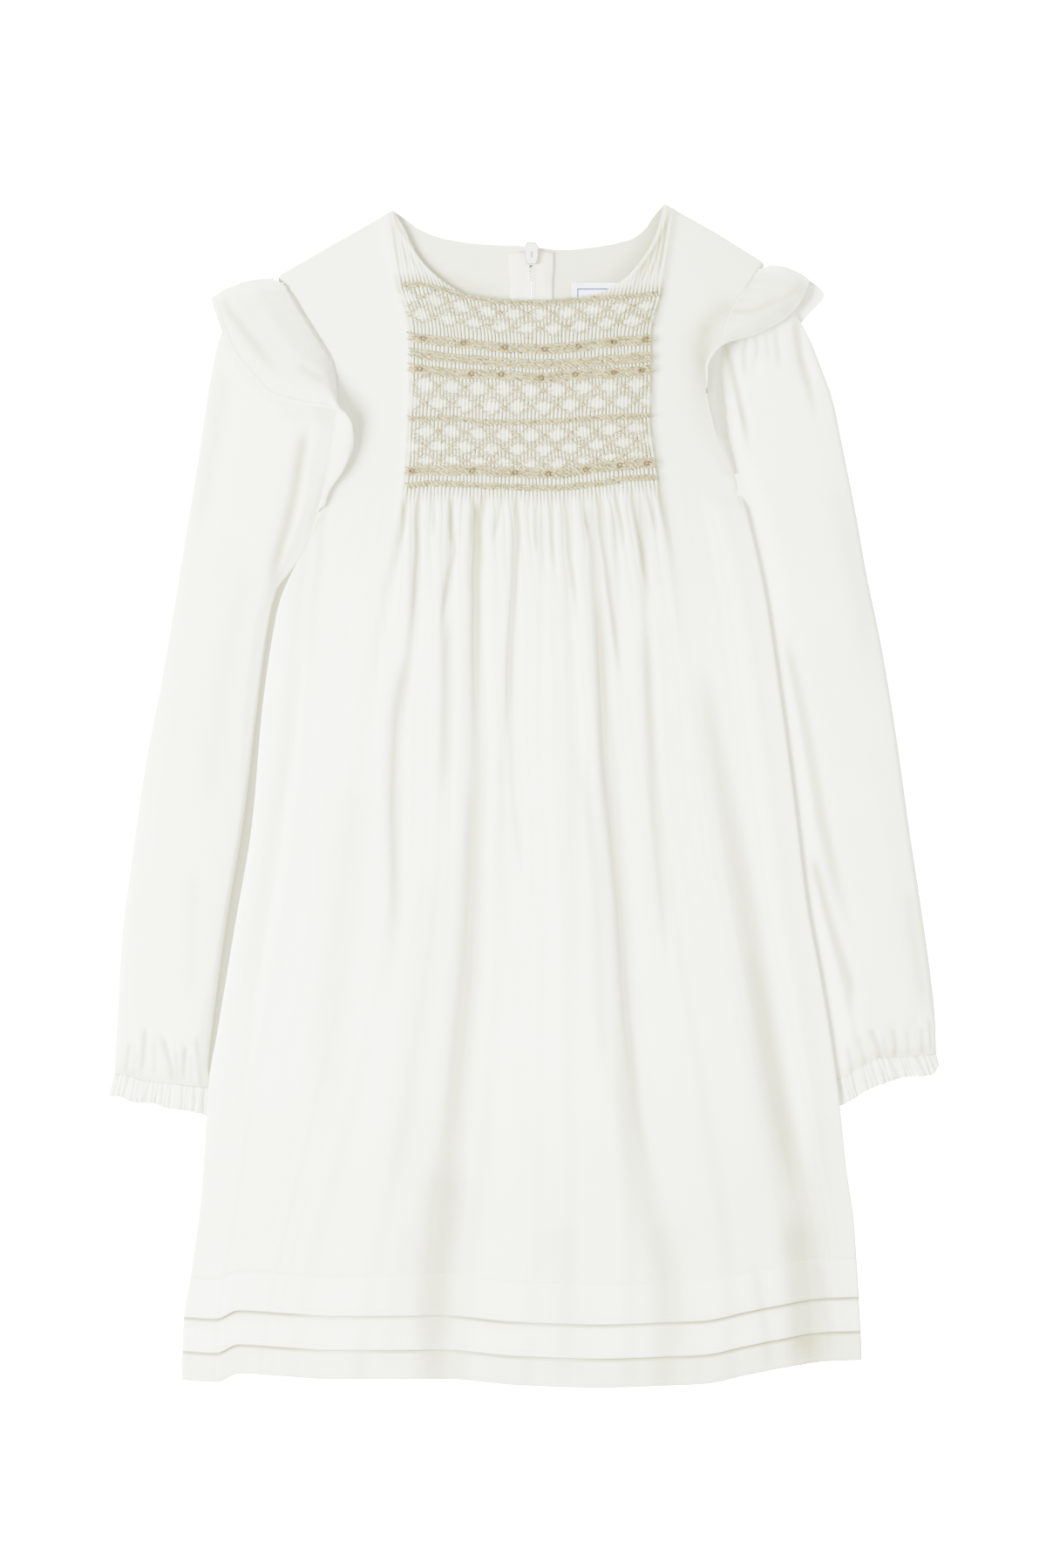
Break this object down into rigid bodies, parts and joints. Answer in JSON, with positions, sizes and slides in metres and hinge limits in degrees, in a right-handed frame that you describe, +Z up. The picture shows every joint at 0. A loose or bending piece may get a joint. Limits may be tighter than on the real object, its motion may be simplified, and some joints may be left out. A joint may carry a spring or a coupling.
{
  "type": "smock dress",
  "caption": "Child's long-sleeved smock dress laid flat: smocked chest, frilled armholes, gathered skirt, elastic cuffs, two tucks above the hem, zip up the back.",
  "frame": {"origin": "on the surface that the dress lies on, below the middle of its outline", "axes": "+Y towards the neck, +X to the right of the dress as it is seen from above, +Z up from the surface, out of the front of the dress"},
  "size_m": [0.438, 0.624, 0.0156],
  "materials": {
    "front": "ivory crepe-like woven cloth",
    "back_left": "ivory crepe-like woven cloth",
    "back_right": "ivory crepe-like woven cloth",
    "sleeve_left": "ivory crepe-like woven cloth",
    "sleeve_right": "ivory crepe-like woven cloth",
    "cuff_left": "gathered cloth over elastic",
    "cuff_right": "gathered cloth over elastic",
    "frill_left": "ivory crepe-like woven cloth",
    "frill_right": "ivory crepe-like woven cloth",
    "zip_tape_left": "woven zip tape with a moulded coil",
    "zip_tape_right": "woven zip tape with a moulded coil",
    "zip_slider": "off-white enamelled metal",
    "neck_label": "smooth woven label"
  },
  "bodies": {
    "root": {"front": "front", "back_left": "back_left", "back_right": "back_right", "sleeve_left": "sleeve_left", "sleeve_right": "sleeve_right", "cuff_left": "cuff_left", "cuff_right": "cuff_right", "frill_left": "frill_left", "frill_right": "frill_right", "zip_tape_left": "zip_tape_left", "zip_tape_right": "zip_tape_right", "zip_slider": "zip_slider", "neck_label": "neck_label"}
  },
  "joints": []
}
